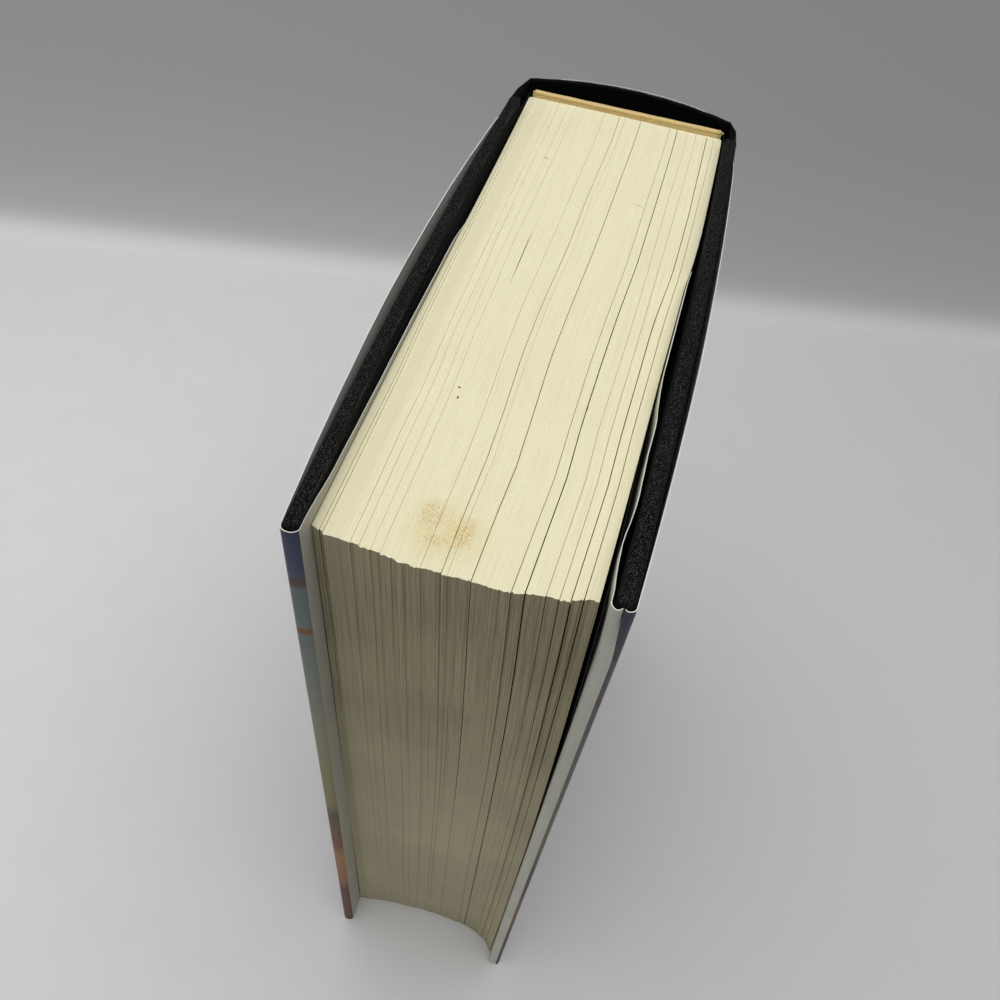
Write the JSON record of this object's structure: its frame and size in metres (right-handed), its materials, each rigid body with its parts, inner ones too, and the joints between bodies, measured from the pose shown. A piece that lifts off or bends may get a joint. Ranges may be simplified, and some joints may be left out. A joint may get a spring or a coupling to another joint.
{
  "type": "hardback book",
  "caption": "Thick cloth-cased hardback book with a hollow spine, gilt-coloured bands, black endpapers, a paper jacket tucked round both covers, and two opening covers.",
  "frame": {"origin": "middle of the footprint on the surface it stands on, at the tail of the boards", "axes": "+Z from tail to head, +Y from the fore-edge to the spine, +X from the front cover to the back cover"},
  "size_m": [0.0652, 0.1668, 0.241],
  "materials": {
    "page_paper": "matte",
    "endpaper_black": "matte",
    "case_cloth": "matte",
    "binder_board": "matte",
    "spine_card": "matte",
    "gauze": "matte",
    "lining_paper": "matte",
    "band_gold": "satin",
    "jacket_paper": "satin"
  },
  "bodies": {
    "book_block": {"text_block": "page_paper", "front_flyleaf": "endpaper_black", "back_flyleaf": "endpaper_black", "mull": "gauze", "spine_lining": "lining_paper", "head_band": "band_gold", "tail_band": "band_gold", "spine_inlay": "spine_card", "spine_cloth": "case_cloth", "jacket_spine": "jacket_paper"},
    "front_cover": {"front_board": "binder_board", "front_cloth": "case_cloth", "front_pastedown": "endpaper_black", "jacket_front": "jacket_paper"},
    "back_cover": {"back_board": "binder_board", "back_cloth": "case_cloth", "back_pastedown": "endpaper_black", "jacket_back": "jacket_paper"}
  },
  "joints": [
    {"name": "front_hinge", "type": "hinge", "parent": "book_block", "child": "front_cover", "pos_m": [-0.02999, 0.0693, 0.1205], "axis": [0, 0, -1], "range_deg": [0, 180]},
    {"name": "back_hinge", "type": "hinge", "parent": "book_block", "child": "back_cover", "pos_m": [0.03161, 0.0718, 0.1205], "axis": [0, 0, 1], "range_deg": [0, 180]}
  ]
}
